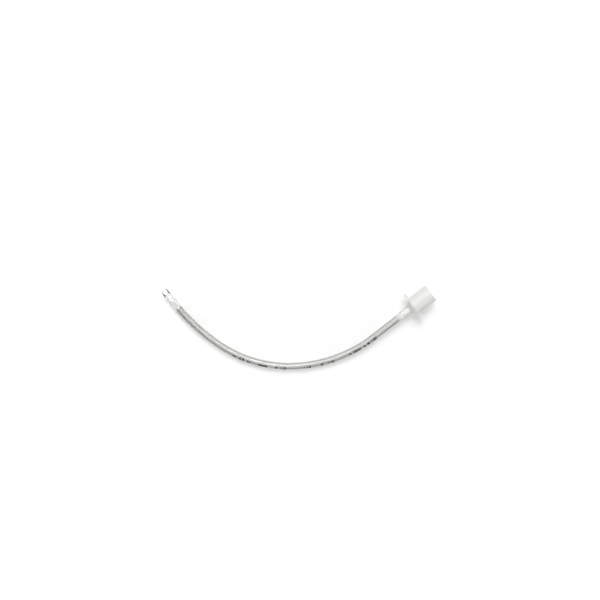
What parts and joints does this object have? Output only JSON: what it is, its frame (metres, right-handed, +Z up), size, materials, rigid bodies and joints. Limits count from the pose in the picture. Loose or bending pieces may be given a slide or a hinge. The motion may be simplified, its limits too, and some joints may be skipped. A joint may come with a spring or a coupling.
{
  "type": "endotracheal tube",
  "caption": "Uncuffed wire-reinforced breathing tube: curved clear shaft with a buried steel coil, bevelled tip with a side eye, and a 15 mm male connector with lugs.",
  "frame": {"origin": "on the table, under the middle of the whole part's box", "axes": "+X from the tip's side towards the connector's side, +Y towards the inside of the curve, +Z up from the table the part lies on"},
  "size_m": [0.2264, 0.0694, 0.0167],
  "materials": {
    "clear_pvc": "clear soft PVC, smooth and glossy",
    "sleeve_pvc": "clear soft PVC, smooth, printed",
    "steel_wire": "drawn stainless wire",
    "connector_plastic": "translucent milky moulding"
  },
  "bodies": {
    "root": {"tube": "clear_pvc", "outer_sleeve": "sleeve_pvc", "reinforcing_coil": "steel_wire", "connector": "connector_plastic"}
  },
  "joints": []
}
